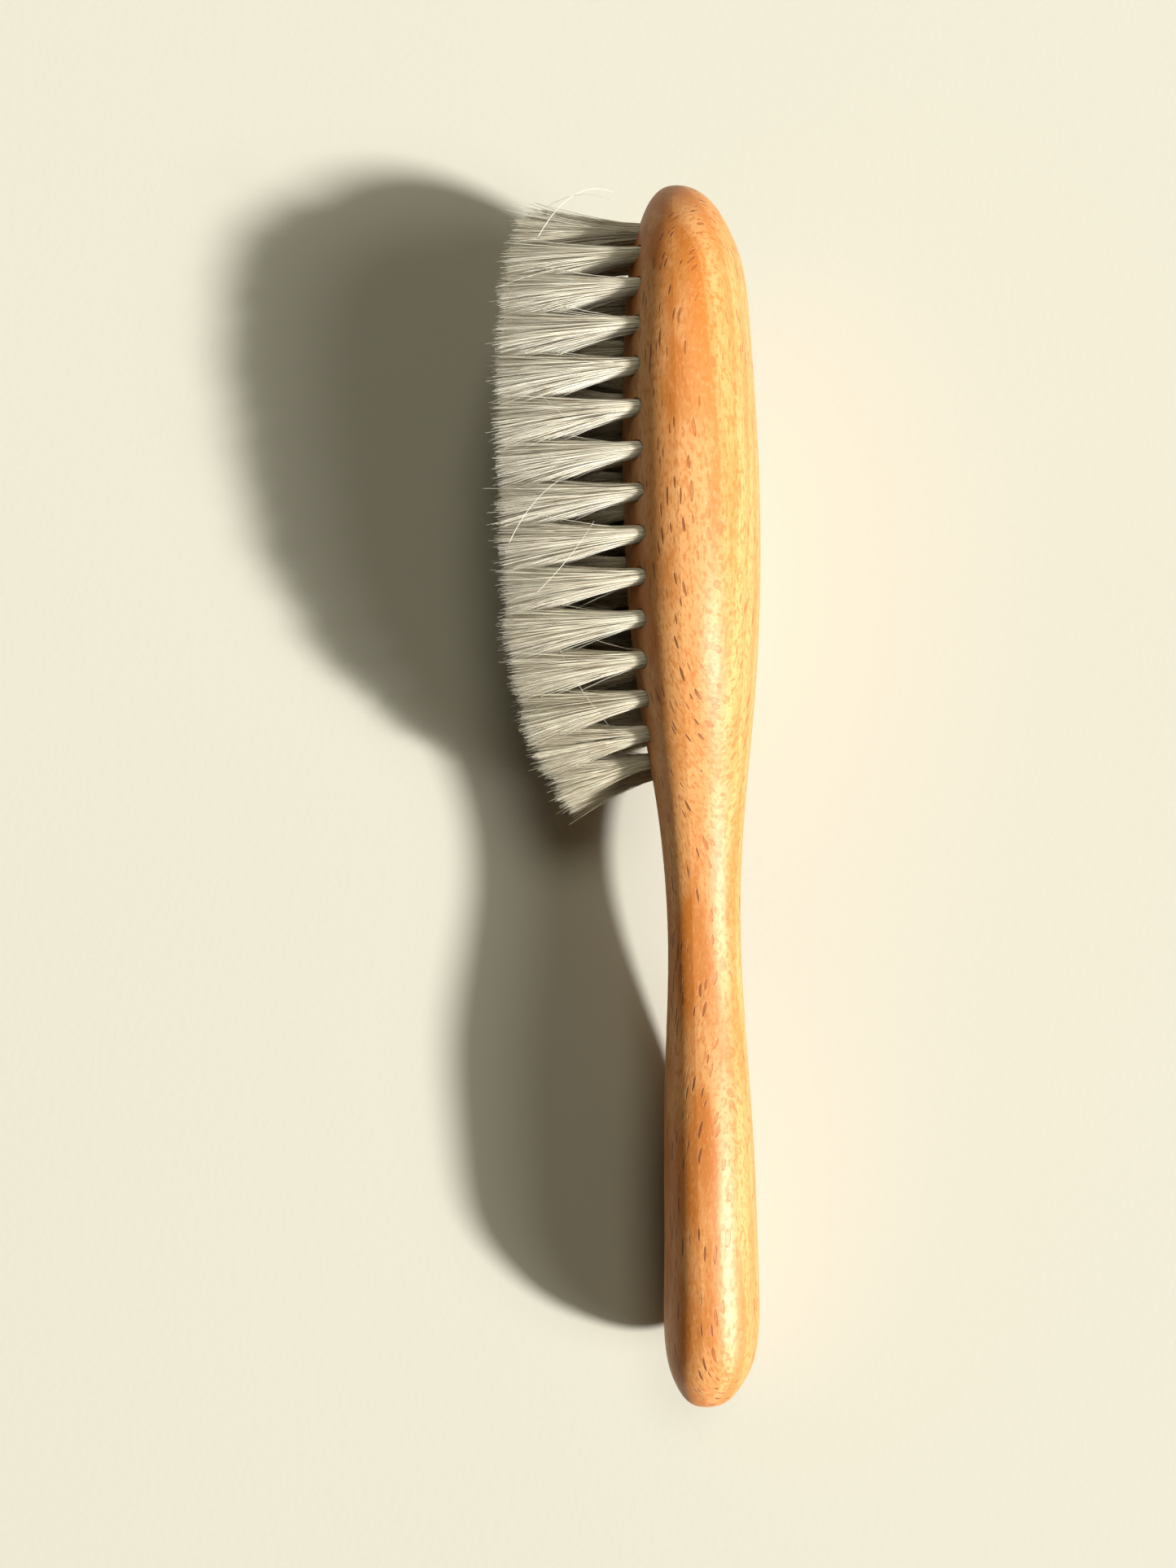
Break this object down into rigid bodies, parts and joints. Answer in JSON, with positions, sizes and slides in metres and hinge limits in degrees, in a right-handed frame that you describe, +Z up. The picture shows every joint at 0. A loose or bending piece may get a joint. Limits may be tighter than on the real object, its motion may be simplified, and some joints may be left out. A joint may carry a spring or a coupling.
{
  "type": "tufted hairbrush",
  "caption": "Small wooden hairbrush: oval head with rows of soft pale hair tufts, slim neck and rounded handle, resting on its long edge.",
  "frame": {"origin": "middle of the footprint, on the surface the brush rests on, in the pose it rests in: on the rim of the head, the bulge of the handle and the lowest hair tips", "axes": "+Y towards the head, along the length of the brush (pitched about 4.2 degrees); +Z up; the hair points to -X and the back of the head faces +X (leaning 8.3 degrees to the hair side)"},
  "size_m": [0.0384, 0.1746, 0.042],
  "materials": {
    "beech": "oiled satin, fine rays and flecks",
    "goat_hair": "soft pale hair, darker at the roots",
    "anchor_metal": "drawn flat strip"
  },
  "bodies": {
    "root": {"brush_body": "beech", "centre_tuft_01": "goat_hair", "centre_tuft_02": "goat_hair", "centre_tuft_03": "goat_hair", "centre_tuft_04": "goat_hair", "centre_tuft_05": "goat_hair", "centre_tuft_06": "goat_hair", "inner_tuft_01": "goat_hair", "inner_tuft_02": "goat_hair", "inner_tuft_03": "goat_hair", "inner_tuft_04": "goat_hair", "inner_tuft_05": "goat_hair", "inner_tuft_06": "goat_hair", "inner_tuft_07": "goat_hair", "inner_tuft_08": "goat_hair", "inner_tuft_09": "goat_hair", "inner_tuft_10": "goat_hair", "inner_tuft_11": "goat_hair", "inner_tuft_12": "goat_hair", "inner_tuft_13": "goat_hair", "inner_tuft_14": "goat_hair", "inner_tuft_15": "goat_hair", "inner_tuft_16": "goat_hair", "inner_tuft_17": "goat_hair", "inner_tuft_18": "goat_hair", "outer_tuft_01": "goat_hair", "outer_tuft_02": "goat_hair", "outer_tuft_03": "goat_hair", "outer_tuft_04": "goat_hair", "outer_tuft_05": "goat_hair", "outer_tuft_06": "goat_hair", "outer_tuft_07": "goat_hair", "outer_tuft_08": "goat_hair", "outer_tuft_09": "goat_hair", "outer_tuft_10": "goat_hair", "outer_tuft_11": "goat_hair", "outer_tuft_12": "goat_hair", "outer_tuft_13": "goat_hair", "outer_tuft_14": "goat_hair", "outer_tuft_15": "goat_hair", "outer_tuft_16": "goat_hair", "outer_tuft_17": "goat_hair", "outer_tuft_18": "goat_hair", "outer_tuft_19": "goat_hair", "outer_tuft_20": "goat_hair", "outer_tuft_21": "goat_hair", "outer_tuft_22": "goat_hair", "outer_tuft_23": "goat_hair", "outer_tuft_24": "goat_hair", "outer_tuft_25": "goat_hair", "outer_tuft_26": "goat_hair", "outer_tuft_27": "goat_hair", "outer_tuft_28": "goat_hair", "outer_tuft_29": "goat_hair", "outer_tuft_30": "goat_hair", "outer_tuft_31": "goat_hair", "outer_tuft_32": "goat_hair", "outer_tuft_33": "goat_hair", "outer_tuft_34": "goat_hair", "tuft_anchors": "anchor_metal"}
  },
  "joints": []
}
